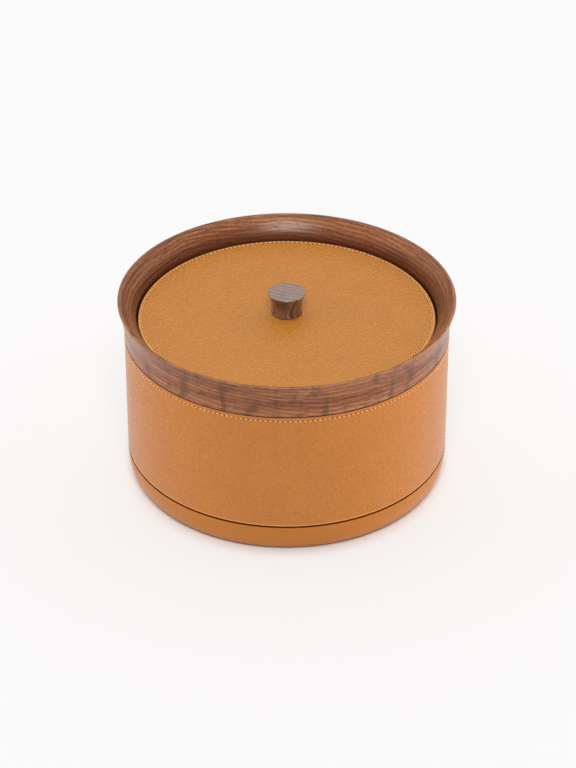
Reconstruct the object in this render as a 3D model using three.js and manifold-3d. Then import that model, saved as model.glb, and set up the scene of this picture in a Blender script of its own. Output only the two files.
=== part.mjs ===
// A round serving box: a leather-covered wall under a flared walnut rim, a sunken lid with a turned
// knob, a lift-out cross divider, and a leather-covered base on which the box swivels.
// Millimetres, +Z up. The origin is the middle of the felt's underside, on the table.
import * as THREE from "three";
import { mergeVertices } from "three/addons/utils/BufferGeometryUtils.js";
import Module from "manifold-3d";

const wasm = await Module();
wasm.setup();

// Outer form
const BODY_DIAMETER = 270; // over the leather of the wall and of the base
const HEIGHT_TO_LIP = 165; // table to the rim's lip
const RIM_BAND = 31; // walnut showing above the wall's leather
const LIP_FLARE = 5; // how far the lip stands out past the wall
const LIP_THICKNESS = 2;
const LID_RECESS = 18; // lip down to the edge of the lid's top
const LID_CROWN = 2.4; // rise of the lid's top towards its middle
const BASE_HEIGHT = 26.2; // table to the top of the base
const BASE_ROUND = 10; // how far the base's side curves in towards its foot
const SWIVEL_GAP = 1.6; // shadow gap between the base and the box

// Boards and skins
const WALL = 12.2; // wooden wall under the leather
const BOTTOM_BOARD = 8;
const LID_BOARD = 7;
const LEATHER = 1.2;
const LINING = 1; // suede inside the box and under the lid
const FELT = 1.6; // pad under the base
const FELT_MARGIN = 5; // flat leather left showing round the felt
const TURN_IN = 12; // leather turned over an edge that is out of sight
const BOARD_ROUND = 0.3; // eased edge of a board under its leather

// Rim joint and lid seat
const SPIGOT_THICKNESS = 5.5; // lower part of the rim, which drops into a rabbet in the wall
const SPIGOT_DEPTH = 12;
const LID_LEDGE = 3; // width of the ledge that carries the lid
const LID_CLEARANCE = 1.5; // between the lid's edge and the rim

// Divider
const DIVIDER_THICKNESS = 8;
const DIVIDER_HEADROOM = 26; // top of the slats up to the lid
const DIVIDER_CLEARANCE = 0.8; // between a slat's end and the lining

// Knob and what holds it
const KNOB_HEIGHT = 19.6;
const KNOB_TOP_DIAMETER = 31.4;
const KNOB_WAIST_DIAMETER = 25.2;
const KNOB_FOOT_DIAMETER = 26;
const KNOB_FOOT = 0.5; // upright edge of the knob's foot
const KNOB_COVE = 3.5; // height over which the knob spreads to its foot
const INSERT_DIAMETER = 8; // brass threaded insert in the knob's foot
const INSERT_LENGTH = 10;
const KNOB_SCREW_DIAMETER = 5;
const KNOB_SCREW_HEAD_DIAMETER = 8.5;
const KNOB_SCREW_HEAD = 2.2;
const WASHER_DIAMETER = 11;
const WASHER = 1;
const COUNTERBORE_SPACE = 0.4; // left under the screw's head in the lid board

// Turntable bearing
const RACE_DIAMETER = 124; // circle of the balls' centres
const BALL_DIAMETER = 5;
const BALL_COUNT = 12;
const RACE_CLEARANCE = 0.3; // between a ball and each race
const RACE_SHOULDER = 0.5; // metal left above and below the race
const RING_WIDTH = 10; // radial width of each ring
const RING_SPACE = 2; // radial space between the two rings
const RING_CLEARANCE = 0.4; // between the rings and the sides of their groove in the base
const RING_STAND_OFF = 1.2; // the inner ring stands this much higher than the outer one
const CAGE_THICKNESS = 1;
const CAGE_WALL = 0.6; // plastic left above and below each ball's hole
const SCREWS_PER_RING = 4;
const SCREW_DIAMETER = 3.2;
const SCREW_HEAD_DIAMETER = 6;
const SCREW_HEAD_LAND = 0.3; // upright edge of the countersunk head
const SCREW_BITE = 5; // length of a ring screw in the wood
const ACCESS_DIAMETER = 8; // hole in the base that a screwdriver goes through

// Fits
const GLUE = 0.1; // glue line between a skin and what it covers
const FIT = 0.2; // space round a piece that is pushed or screwed into another
const SEAT = 0.2; // under a piece that is lifted off by hand
const REVEAL = 0.5; // fine shadow between the wall's leather and the rim

// Facets of the round forms
const FACETS = 40;
const KNOB_FACETS = 32;
const SMALL_FACETS = 12;
const ROUND_STEPS = 4; // on the base's side and on the races
const EDGE_STEPS = 2; // on leather over a board's edge
const CROWN_STEPS = 3;
const FLARE_STEPS = 6;
const RIM_FLARE_POWER = 2; // how late the rim's outside turns outwards
const RIM_DISH_POWER = 1.7; // the same for its inside
const KNOB_FLARE_POWER = 1.7;
const KNOB_COVE_POWER = 2;

// Radii that pieces share
const bodyR = BODY_DIAMETER / 2;
const coreR = bodyR - LEATHER - GLUE; // boards under the leather
const wallInnerR = coreR - WALL;
const interiorR = wallInnerR - GLUE - LINING;
const spigotR = interiorR + SPIGOT_THICKNESS;
const lidR = interiorR + LID_LEDGE;
const edgeR = BOARD_ROUND + GLUE + LEATHER; // outside of leather over a board's edge

// Levels above the table
const boxBottom = BASE_HEIGHT + SWIVEL_GAP;
const boxHeight = HEIGHT_TO_LIP - RIM_BAND - boxBottom;
const floorHeight = BOTTOM_BOARD + GLUE + LINING; // lined floor above the box's underside
const lidHeight = LID_BOARD + 2 * (LEATHER + GLUE);
const lidBottom = HEIGHT_TO_LIP - LID_RECESS - lidHeight;
const dividerBottom = boxBottom + floorHeight + SEAT;
const dividerHeight = lidBottom - DIVIDER_HEADROOM - dividerBottom;

// Bearing sizes that follow from the balls
const raceR = RACE_DIAMETER / 2;
const ballR = BALL_DIAMETER / 2;
const grooveR = ballR + RACE_CLEARANCE;
const raceHalfHeight = Math.sqrt(grooveR ** 2 - (RING_SPACE / 2) ** 2);
const ringHeight = 2 * (raceHalfHeight + RACE_SHOULDER) + RING_STAND_OFF;
const bearingHeight = ringHeight + RING_STAND_OFF;
const ballPlane = boxBottom - GLUE - bearingHeight / 2;
const outerScrewR = raceR + (RING_SPACE + RING_WIDTH) / 2;
const innerScrewR = raceR - (RING_SPACE + RING_WIDTH) / 2;

const finish = (color, roughness, metalness = 0) =>
  new THREE.MeshStandardMaterial({ color, roughness, metalness });
const walnut = finish(0x7a5238, 0.5);
const tanLeather = finish(0xc5813f, 0.55);
const suede = finish(0x8a6a4c, 0.95);
const board = finish(0xb89a72, 0.85);
const felt = finish(0x4a3a30, 1);
const aluminium = finish(0xb9bbbd, 0.4, 1);
const steel = finish(0xc8c8c8, 0.25, 1);
const nylon = finish(0xe8e6e0, 0.6);
const brass = finish(0xc9a24c, 0.3, 1);

// Points of [radius, height] on a stretch of an ellipse, with angles in degrees.
function oval(centreR, centreZ, width, height, from, to, steps) {
  return Array.from({ length: steps + 1 }, (_, i) => {
    const angle = THREE.MathUtils.degToRad(from + ((to - from) * i) / steps);
    return [centreR + width * Math.cos(angle), centreZ + height * Math.sin(angle)];
  });
}

const arc = (centreR, centreZ, radius, from, to, steps) =>
  oval(centreR, centreZ, radius, radius, from, to, steps);

// Points along a side that starts upright and turns outwards towards its end.
function flare(footR, topR, bottom, top, power) {
  return Array.from({ length: FLARE_STEPS + 1 }, (_, i) => {
    const share = i / FLARE_STEPS;
    return [footR + (topR - footR) * share ** power, bottom + (top - bottom) * share];
  });
}

// A solid of revolution about Z. The outline starts and ends on the axis, or closes on itself.
function turned(outline, facets = FACETS) {
  const points = outline.map(([r, z]) => new THREE.Vector2(r, z));
  if (THREE.ShapeUtils.area(points) < 0) points.reverse();
  if (points[0].x > 0) points.push(points[0].clone());
  return new THREE.LatheGeometry(points, facets).rotateX(Math.PI / 2);
}

const disc = (radius, bottom, top) =>
  turned([[0, bottom], [radius, bottom], [radius, top], [0, top]]);

const ring = (innerR, outerR, bottom, top, facets = FACETS) =>
  turned([[innerR, bottom], [outerR, bottom], [outerR, top], [innerR, top]], facets);

// A skin of leather that follows a path given at an inset from the outer form.
const skin = (path) => turned([...path(0), ...path(LEATHER).reverse()]);

// A closed geometry as a manifold-3d solid.
function solid(geometry) {
  const bare = geometry.clone();
  bare.deleteAttribute("normal");
  bare.deleteAttribute("uv");
  const merged = mergeVertices(bare);
  const corners = [];
  for (let i = 0; i < merged.index.count; i += 3) {
    const [a, b, c] = merged.index.array.slice(i, i + 3);
    if (a !== b && b !== c && c !== a) corners.push(a, b, c);
  }
  return new wasm.Manifold(
    new wasm.Mesh({
      numProp: 3,
      vertProperties: merged.attributes.position.array,
      triVerts: new Uint32Array(corners),
    }),
  );
}

// A geometry with the cutters taken out of it.
function cut(geometry, cutters) {
  const left = cutters.reduce((body, cutter) => body.subtract(solid(cutter)), solid(geometry));
  const mesh = left.getMesh();
  const made = new THREE.BufferGeometry();
  made.setAttribute("position", new THREE.BufferAttribute(mesh.vertProperties, 3));
  made.setIndex(new THREE.BufferAttribute(mesh.triVerts, 1));
  made.computeVertexNormals();
  return made;
}

function mesh(name, geometry, material) {
  const made = new THREE.Mesh(geometry, material);
  made.name = name;
  return made;
}

function group(height, ...members) {
  const made = new THREE.Group();
  made.position.z = height;
  made.add(...members);
  return made;
}

// Angles of a pattern of equal pieces round the axis.
const angles = (count, offset = 0) =>
  Array.from({ length: count }, (_, i) => offset + (2 * Math.PI * i) / count);

const onCircle = (radius, angle, height) =>
  new THREE.Vector3(radius * Math.cos(angle), radius * Math.sin(angle), height);

// Base: the outer form's path at an inset, from the turned-in leather below to that above.
const baseShoulder = BASE_HEIGHT - edgeR; // where the curved side meets the top edge
const baseFootR = bodyR - BASE_ROUND;

const baseSide = (inset) =>
  oval(baseFootR, baseShoulder, BASE_ROUND - inset, baseShoulder - FELT - inset, -90, 0, ROUND_STEPS);

const basePath = (inset) => [
  [baseFootR - TURN_IN, FELT + inset],
  ...baseSide(inset),
  ...arc(bodyR - edgeR, baseShoulder, edgeR - inset, 0, 90, EDGE_STEPS).slice(1),
  [bodyR - edgeR - TURN_IN, BASE_HEIGHT - inset],
];

// A countersunk screw pointing down from its head's face, grown by a clearance to make its hole.
function ringScrew(clearance = 0) {
  const headR = SCREW_HEAD_DIAMETER / 2 + clearance;
  const shankR = SCREW_DIAMETER / 2 + clearance;
  const tip = -ringHeight - SCREW_BITE - clearance;
  const outline = [
    [0, clearance],
    [headR, clearance],
    [headR, -SCREW_HEAD_LAND],
    [shankR, shankR - headR - SCREW_HEAD_LAND],
    [shankR, tip + shankR],
    [0, tip],
  ];
  return turned(outline, SMALL_FACETS);
}

const outerScrewAngles = angles(SCREWS_PER_RING, Math.PI / SCREWS_PER_RING);
const innerScrewAngles = angles(SCREWS_PER_RING);
const outerScrewFace = bearingHeight / 2 - RING_STAND_OFF; // above the ball plane
const innerScrewFace = -outerScrewFace;

const outerScrewAt = (geometry, angle, height) =>
  geometry.translate(...onCircle(outerScrewR, angle, height).toArray());
const innerScrewAt = (geometry, angle, height) =>
  geometry.rotateX(Math.PI).translate(...onCircle(innerScrewR, angle, height).toArray());

function baseBoard() {
  const inset = LEATHER + GLUE;
  const turnR = baseFootR - TURN_IN - GLUE;
  const top = BASE_HEIGHT - inset;
  const grooveFloor = ballPlane - bearingHeight / 2 - GLUE;
  const grooveHalf = RING_SPACE / 2 + RING_WIDTH + RING_CLEARANCE;
  const blank = turned([
    [0, FELT + GLUE],
    [turnR, FELT + GLUE],
    [turnR, FELT + inset],
    ...basePath(inset),
    [raceR + grooveHalf, top],
    [raceR + grooveHalf, grooveFloor],
    [raceR - grooveHalf, grooveFloor],
    [raceR - grooveHalf, top],
    [0, top],
  ]);
  const access = new THREE.CylinderGeometry(
    ACCESS_DIAMETER / 2, ACCESS_DIAMETER / 2, 2 * grooveFloor, SMALL_FACETS);
  access.rotateX(Math.PI / 2).translate(...onCircle(innerScrewR, innerScrewAngles[0], 0).toArray());
  const pilots = outerScrewAngles.map((angle) =>
    outerScrewAt(ringScrew(GLUE), angle, ballPlane + outerScrewFace));
  return cut(blank, [access, ...pilots]);
}

const base = group(
  0,
  mesh("base_felt", disc(baseFootR - FELT_MARGIN, 0, FELT), felt),
  mesh("base_board", baseBoard(), board),
  mesh("base_leather", skin(basePath), tanLeather),
);

// Bearing: heights are from the ball plane. The outer ring is on the base, the inner one on the box.
const raceAngle = THREE.MathUtils.radToDeg(Math.acos(RING_SPACE / 2 / grooveR));

function bearingRing(side, middle) {
  const race = arc(raceR, 0, grooveR, -raceAngle, raceAngle, ROUND_STEPS);
  const half = ringHeight / 2;
  const faceR = RING_SPACE / 2;
  const section = [
    [raceR + faceR, middle - half],
    ...race,
    [raceR + faceR, middle + half],
    [raceR + faceR + RING_WIDTH, middle + half],
    [raceR + faceR + RING_WIDTH, middle - half],
  ];
  return turned(section.map(([r, z]) => [raceR + side * (r - raceR), z]));
}

const outerRing = cut(
  bearingRing(1, -RING_STAND_OFF / 2),
  outerScrewAngles.map((angle) => outerScrewAt(ringScrew(FIT), angle, outerScrewFace)),
);
const innerRing = cut(
  bearingRing(-1, RING_STAND_OFF / 2),
  innerScrewAngles.map((angle) => innerScrewAt(ringScrew(FIT), angle, innerScrewFace)),
);

function ballCage() {
  const holeR = ballR + FIT;
  const half = holeR + CAGE_WALL;
  const innerR = raceR - CAGE_THICKNESS / 2;
  const blank = ring(innerR, innerR + CAGE_THICKNESS, -half, half);
  const holes = angles(BALL_COUNT).map((angle) => {
    const hole = new THREE.CylinderGeometry(holeR, holeR, 2 * RING_SPACE, SMALL_FACETS);
    return hole.rotateZ(Math.PI / 2).rotateZ(angle).translate(...onCircle(raceR, angle, 0).toArray());
  });
  return cut(blank, holes);
}

const balls = angles(BALL_COUNT).map((angle, i) => {
  const name = `bearing_ball_${String(i + 1).padStart(2, "0")}`;
  const ball = mesh(name, new THREE.IcosahedronGeometry(ballR, 1), steel);
  ball.position.copy(onCircle(raceR, angle, 0));
  return ball;
});

const outerScrews = outerScrewAngles.map((angle, i) =>
  mesh(`bearing_outer_screw_${i + 1}`, outerScrewAt(ringScrew(), angle, outerScrewFace), steel));
const innerScrews = innerScrewAngles.map((angle, i) =>
  mesh(`bearing_inner_screw_${i + 1}`, innerScrewAt(ringScrew(), angle, innerScrewFace), steel));

const bearing = group(
  ballPlane,
  mesh("bearing_outer_ring", outerRing, aluminium),
  ...outerScrews,
  mesh("bearing_ball_cage", ballCage(), nylon),
  ...balls,
  mesh("bearing_inner_ring", innerRing, aluminium),
  ...innerScrews,
);

// Box: heights are from its underside.
const wallPath = (inset) => [
  [wallInnerR, inset],
  ...arc(bodyR - edgeR, edgeR, edgeR - inset, -90, 0, EDGE_STEPS),
  [bodyR - inset, boxHeight - REVEAL],
];

function wallTube() {
  const foot = LEATHER + GLUE;
  const top = boxHeight - GLUE;
  const rabbet = boxHeight - SPIGOT_DEPTH - FIT;
  return turned([
    ...wallPath(foot).slice(0, -1),
    [coreR, top],
    [spigotR + FIT, top],
    [spigotR + FIT, rabbet],
    [wallInnerR, rabbet],
  ]);
}

function bottomBoard() {
  const pilots = innerScrewAngles.map((angle) =>
    innerScrewAt(ringScrew(GLUE), angle, ballPlane + innerScrewFace - boxBottom));
  return cut(disc(wallInnerR - GLUE, 0, BOTTOM_BOARD), pilots);
}

function rimRing() {
  const lip = HEIGHT_TO_LIP - boxBottom;
  const ledge = lidBottom - SEAT - boxBottom;
  const rebateR = lidR + LID_CLEARANCE;
  const lipR = bodyR + LIP_FLARE;
  return turned([
    [spigotR, boxHeight - SPIGOT_DEPTH],
    [spigotR, boxHeight],
    ...flare(bodyR, lipR, boxHeight, lip, RIM_FLARE_POWER),
    ...flare(rebateR, lipR - LIP_THICKNESS, lip - LID_RECESS, lip, RIM_DISH_POWER).reverse(),
    [rebateR, ledge],
    [interiorR, ledge],
    [interiorR, boxHeight - SPIGOT_DEPTH],
  ]);
}

const box = group(
  boxBottom,
  mesh("bottom_board", bottomBoard(), board),
  mesh("wall_tube", wallTube(), board),
  mesh("wall_leather", skin(wallPath), tanLeather),
  mesh(
    "wall_lining",
    ring(interiorR, interiorR + LINING, BOTTOM_BOARD + GLUE, boxHeight - SPIGOT_DEPTH - GLUE),
    suede,
  ),
  mesh("floor_lining", disc(interiorR - FIT, BOTTOM_BOARD + GLUE, floorHeight), suede),
  mesh("rim_ring", rimRing(), walnut),
);

// Divider: two slats that cross in a half-lap, one slotted from above and one from below.
function slat(slotFromAbove) {
  const halfLength = interiorR - DIVIDER_CLEARANCE;
  const halfSlot = DIVIDER_THICKNESS / 2 + FIT;
  const slotEnd = dividerHeight / 2;
  const outline = new THREE.Shape();
  outline.moveTo(-halfLength, 0);
  outline.lineTo(-halfSlot, 0);
  outline.lineTo(-halfSlot, slotEnd + FIT);
  outline.lineTo(halfSlot, slotEnd + FIT);
  outline.lineTo(halfSlot, 0);
  outline.lineTo(halfLength, 0);
  outline.lineTo(halfLength, dividerHeight);
  outline.lineTo(-halfLength, dividerHeight);
  const made = new THREE.ExtrudeGeometry(outline, { depth: DIVIDER_THICKNESS, bevelEnabled: false });
  made.translate(0, 0, -DIVIDER_THICKNESS / 2).rotateX(Math.PI / 2);
  if (slotFromAbove) made.rotateX(Math.PI).translate(0, 0, dividerHeight);
  return made;
}

const crossSlat = mesh("divider_cross_slat", slat(false), walnut);
crossSlat.rotation.z = Math.PI / 2;
const divider = group(dividerBottom, mesh("divider_long_slat", slat(true), walnut), crossSlat);

// Lid: heights are from its underside.
const knobHoleR = KNOB_SCREW_DIAMETER / 2 + FIT;
const boardBottom = LEATHER + GLUE;
const counterboreTop = boardBottom + COUNTERBORE_SPACE + KNOB_SCREW_HEAD + GLUE + WASHER + GLUE;
const knobFoot = lidHeight + LID_CROWN + GLUE;
const crownR = lidR - edgeR;

// Points from the lid's edge in to the knob's screw hole, on the slightly domed top.
function crown(inset) {
  return Array.from({ length: CROWN_STEPS }, (_, i) => {
    const r = THREE.MathUtils.lerp(crownR, knobHoleR, (i + 1) / CROWN_STEPS);
    return [r, lidHeight - inset + LID_CROWN * (1 - (r / crownR) ** 2)];
  });
}

const lidPath = (inset) => [
  [crownR - TURN_IN, inset],
  ...arc(crownR, edgeR, edgeR - inset, -90, 0, EDGE_STEPS),
  ...arc(crownR, lidHeight - edgeR, edgeR - inset, 0, 90, EDGE_STEPS),
  ...crown(inset),
];

const lidBoard = turned([
  ...lidPath(boardBottom),
  [knobHoleR, counterboreTop],
  [WASHER_DIAMETER / 2 + FIT, counterboreTop],
  [WASHER_DIAMETER / 2 + FIT, boardBottom],
]);

function knob() {
  const insertHoleR = INSERT_DIAMETER / 2 + GLUE;
  const insertHoleTop = knobFoot + INSERT_LENGTH + GLUE;
  const footR = KNOB_FOOT_DIAMETER / 2;
  const waistR = KNOB_WAIST_DIAMETER / 2;
  const footTop = knobFoot + KNOB_FOOT;
  const waist = footTop + KNOB_COVE;
  const top = knobFoot + KNOB_HEIGHT;
  return turned(
    [
      [0, insertHoleTop],
      [insertHoleR, insertHoleTop],
      [insertHoleR, knobFoot],
      [footR, knobFoot],
      ...flare(waistR, footR, waist, footTop, KNOB_COVE_POWER).reverse(),
      ...flare(waistR, KNOB_TOP_DIAMETER / 2, waist, top, KNOB_FLARE_POWER).slice(1),
      [0, top],
    ],
    KNOB_FACETS,
  );
}

function knobScrew() {
  const headTop = counterboreTop - WASHER - 2 * GLUE;
  const headR = KNOB_SCREW_HEAD_DIAMETER / 2;
  const shankR = KNOB_SCREW_DIAMETER / 2;
  const tip = knobFoot + INSERT_LENGTH - FIT;
  return turned(
    [
      [0, headTop - KNOB_SCREW_HEAD],
      [headR, headTop - KNOB_SCREW_HEAD],
      [headR, headTop],
      [shankR, headTop],
      [shankR, tip],
      [0, tip],
    ],
    SMALL_FACETS,
  );
}

const lidLiningR = crownR - TURN_IN - FIT;
const washerTop = counterboreTop - GLUE;
const insertBoreR = KNOB_SCREW_DIAMETER / 2 + GLUE;

const lid = group(
  lidBottom,
  mesh("lid_board", lidBoard, board),
  mesh("lid_leather", skin(lidPath), tanLeather),
  mesh("lid_lining", disc(lidLiningR, LEATHER - LINING, LEATHER), suede),
  mesh("lid_knob", knob(), walnut),
  mesh(
    "knob_insert",
    ring(insertBoreR, INSERT_DIAMETER / 2, knobFoot, knobFoot + INSERT_LENGTH, SMALL_FACETS),
    brass,
  ),
  mesh("knob_screw", knobScrew(), steel),
  mesh(
    "knob_washer",
    ring(knobHoleR, WASHER_DIAMETER / 2, washerTop - WASHER, washerTop, SMALL_FACETS),
    steel,
  ),
);

const servingBox = new THREE.Group();
servingBox.add(base, bearing, box, divider, lid);

export default servingBox;
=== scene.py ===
"""Looks for a round leather-covered serving box with a flared walnut rim, a sunken lid and a swivel base.

Sizes are in millimetres, as on a drawing; every mesh is made in metres.
"""
import math

import bmesh
import bpy
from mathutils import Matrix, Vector


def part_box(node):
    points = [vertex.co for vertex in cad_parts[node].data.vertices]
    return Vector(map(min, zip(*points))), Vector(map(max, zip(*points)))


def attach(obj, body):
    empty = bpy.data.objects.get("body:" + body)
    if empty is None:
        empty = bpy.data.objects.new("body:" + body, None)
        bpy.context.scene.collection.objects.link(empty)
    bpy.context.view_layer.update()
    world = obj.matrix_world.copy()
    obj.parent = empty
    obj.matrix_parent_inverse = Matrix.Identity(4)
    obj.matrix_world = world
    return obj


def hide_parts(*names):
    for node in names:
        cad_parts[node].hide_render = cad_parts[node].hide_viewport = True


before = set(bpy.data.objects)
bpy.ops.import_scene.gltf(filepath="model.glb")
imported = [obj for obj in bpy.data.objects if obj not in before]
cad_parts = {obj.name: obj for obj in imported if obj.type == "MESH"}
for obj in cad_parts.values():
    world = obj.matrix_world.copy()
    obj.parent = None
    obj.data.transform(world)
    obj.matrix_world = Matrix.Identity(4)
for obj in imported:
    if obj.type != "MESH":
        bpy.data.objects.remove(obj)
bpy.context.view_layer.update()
scene = bpy.context.scene

MM = 0.001
TAU = 2 * math.pi


def extent(node):
    """Lowest and highest corner of a solid, in millimetres."""
    low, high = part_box(node)
    return low / MM, high / MM


# Sizes read from the solids
wall_low, wall_high = extent("wall_leather")
rim_low, rim_high = extent("rim_ring")
base_low, base_high = extent("base_leather")
_, felt_high = extent("base_felt")
lining_low, lining_high = extent("wall_lining")
floor_low, floor_high = extent("floor_lining")
slat_low, slat_high = extent("divider_long_slat")
lid_low, lid_high = extent("lid_leather")
lid_lining_low, lid_lining_high = extent("lid_lining")
knob_low, knob_high = extent("lid_knob")

BODY_R = wall_high.x
LIP_R = rim_high.x
LID_R = lid_high.x
LINING = floor_high.z - floor_low.z
INTERIOR_R = lining_high.x - LINING

# Sizes that the solids don't give directly
LEATHER = 1.2
LEATHER_EDGE_R = 1.6
REVEAL = 0.5
TURN_IN = 12.0
BASE_ROUND = 10.0
LIP_THICKNESS = 2.0
RIM_FLARE_POWER = 2.0
RIM_DISH_POWER = 1.7
GLUE_GAP = 0.1
SPIGOT_THICKNESS = 5.5
LID_CLEARANCE = 1.5
LID_SEAT = 0.2
LID_CROWN = 2.4
KNOB_HOLE_R = 2.7
KNOB_WAIST_R = 12.6
KNOB_FOOT_R = 13.0
KNOB_COVE = 4.0
KNOB_FLARE_POWER = 1.7
KNOB_COVE_POWER = 2.0
INSERT_HOLE_R = 4.1
INSERT_HOLE = 10.1
SLOT_FIT = 0.2

WALL_INNER_R = INTERIOR_R + LINING + GLUE_GAP
SPIGOT_R = INTERIOR_R + SPIGOT_THICKNESS
RIM_FOOT_Z = wall_high.z + REVEAL
LID_TOP_Z = lid_high.z - LID_CROWN
LID_CROWN_R = LID_R - LEATHER_EDGE_R

# Eased edges
SLAT_EDGE = 1.2
LIP_EDGE = 0.5
RIM_EDGE = 0.6
KNOB_EDGE = 0.6
KNOB_FOOT_EDGE = 1.6
FELT_EDGE = 0.5
CUT_EDGE = 0.4
WALL_EDGE = 0.5
BASE_EDGE = 0.25

# Stitches, in shallow channels
WALL_STITCHES = 213
WALL_STITCH_DROP = 4.0
WALL_STITCH_Z = RIM_FOOT_Z - WALL_STITCH_DROP
WALL_PITCH = TAU * BODY_R / WALL_STITCHES
LID_STITCHES = 195
LID_STITCH_INSET = 3.0
LID_STITCH_R = LID_R - LID_STITCH_INSET
LID_PITCH = TAU * LID_STITCH_R / LID_STITCHES
STITCH_SHARE = 0.66
THREAD_R = 0.4
STITCH_RISE = 0.25
STITCH_TAPER = 0.35
STITCH_TAPER_POWER = 8
STITCH_RISE_POWER = 5
STITCH_DIVE_POWER = 9
HOLE_R = 0.8
CHANNEL_DEPTH = 0.22
CHANNEL_HALF = 1.1

# Butt seam of the wall's leather, at the back
SEAM_ANGLE = TAU / 4
SEAM_HALF = 0.45
SEAM_DEPTH = 0.6
SEAM_CLEAR = 2.0
SEAM_POWER = 0.7

# Steps and points of the meshes, and the angles over which their edges are sharp
COLUMNS = 256
KNOB_COLUMNS = 96
EDGE_STEPS = 8
CURVE_STEPS = 28
SLAT_EDGE_STEPS = 3
CHANNEL_POINTS = 11
SEAM_POINTS = 21
LID_POINTS = 15
KNOB_TOP_POINTS = 5
STITCH_RINGS = 9
STITCH_SIDES = 8
SHARP_ANGLE = 40
STITCH_SHARP_ANGLE = 60


# Mesh making
def oval(centre_r, centre_z, width, height, start, end, steps=EDGE_STEPS):
    """Points of (radius, height) on a stretch of an ellipse, with angles in degrees."""
    points = []
    for i in range(steps + 1):
        angle = math.radians(start + (end - start) * i / steps)
        points.append((centre_r + width * math.cos(angle), centre_z + height * math.sin(angle)))
    return points


def arc(centre_r, centre_z, radius, start, end, steps=EDGE_STEPS):
    return oval(centre_r, centre_z, radius, radius, start, end, steps)


def flare(foot_r, top_r, bottom, top, power):
    """Points along a side that starts upright and turns outwards towards its end."""
    points = []
    for i in range(CURVE_STEPS + 1):
        share = i / CURVE_STEPS
        points.append((foot_r + (top_r - foot_r) * share ** power, bottom + (top - bottom) * share))
    return points


def corner(r, z, radius, at_top):
    """The outer corner of a skin, at its top or its foot, rounded where it has a radius."""
    if radius <= 0:
        return [(r, z)]
    if at_top:
        return arc(r - radius, z - radius, radius, 0, 90)
    return arc(r - radius, z + radius, radius, -90, 0)


def between(start, end, count):
    """Evenly spaced numbers from start to end, both included."""
    return [start + (end - start) * i / (count - 1) for i in range(count)]


def finished_mesh(name, bm, sharp=SHARP_ANGLE):
    """A smooth mesh from a bmesh, with its edges sharp over an angle in degrees."""
    bmesh.ops.recalc_face_normals(bm, faces=bm.faces)
    mesh = bpy.data.meshes.new(name)
    bm.to_mesh(mesh)
    bm.free()
    mesh.polygons.foreach_set("use_smooth", [True] * len(mesh.polygons))
    mesh.set_sharp_from_angle(angle=math.radians(sharp))
    return mesh


def even_angles(count=COLUMNS):
    return [TAU * i / count for i in range(count)]


def lathe(name, outline, angles=None, inset=None):
    """A solid of revolution about Z. The outline starts and ends on the axis, or closes on itself.

    inset(angle, radius) gives how far a point is pressed in towards the axis.
    """
    bm = bmesh.new()
    angles = angles or even_angles()
    on_axis = {i: bm.verts.new((0, 0, z * MM)) for i, (r, z) in enumerate(outline) if r == 0}
    columns = []
    for angle in angles:
        column = []
        for i, (r, z) in enumerate(outline):
            if i in on_axis:
                column.append(on_axis[i])
                continue
            radius = (r - inset(angle, r) if inset else r) * MM
            column.append(bm.verts.new((radius * math.cos(angle), radius * math.sin(angle), z * MM)))
        columns.append(column)
    spans = len(outline) - 1 if on_axis else len(outline)
    for here, there in zip(columns, columns[1:] + columns[:1]):
        for i in range(spans):
            j = (i + 1) % len(outline)
            corners = dict.fromkeys((here[i], here[j], there[j], there[i]))
            bm.faces.new(list(corners))
    return finished_mesh(name, bm)


def slat_mesh(name, slot_from_above):
    """A divider slat along X with a half-lap slot in its middle and eased edges."""
    half_length = slat_high.x
    half_thickness = slat_high.y
    height = slat_high.z - slat_low.z
    half_slot = half_thickness + SLOT_FIT
    slot_end = height / 2 + SLOT_FIT
    outline = [
        (-half_length, 0), (-half_slot, 0), (-half_slot, slot_end), (half_slot, slot_end),
        (half_slot, 0), (half_length, 0), (half_length, height), (-half_length, height),
    ]
    if slot_from_above:
        outline = [(x, height - z) for x, z in outline]
    bm = bmesh.new()
    sides = []
    for y in (-half_thickness, half_thickness):
        sides.append([bm.verts.new((x * MM, y * MM, (slat_low.z + z) * MM)) for x, z in outline])
    for side in sides:
        bm.faces.new(side)
    for i in range(len(outline)):
        j = (i + 1) % len(outline)
        bm.faces.new((sides[0][i], sides[0][j], sides[1][j], sides[1][i]))
    past_slot = (half_slot + SLOT_FIT) * MM
    eased = [
        edge for edge in bm.edges
        if all(abs(vert.co.x) > past_slot for vert in edge.verts)
        or abs(edge.verts[0].co.x - edge.verts[1].co.x) > half_length * MM / 2
    ]
    bmesh.ops.recalc_face_normals(bm, faces=bm.faces)
    bmesh.ops.bevel(
        bm, geom=eased, offset=SLAT_EDGE * MM, segments=SLAT_EDGE_STEPS, profile=0.5, affect="EDGES")
    return finished_mesh(name, bm)


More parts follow.
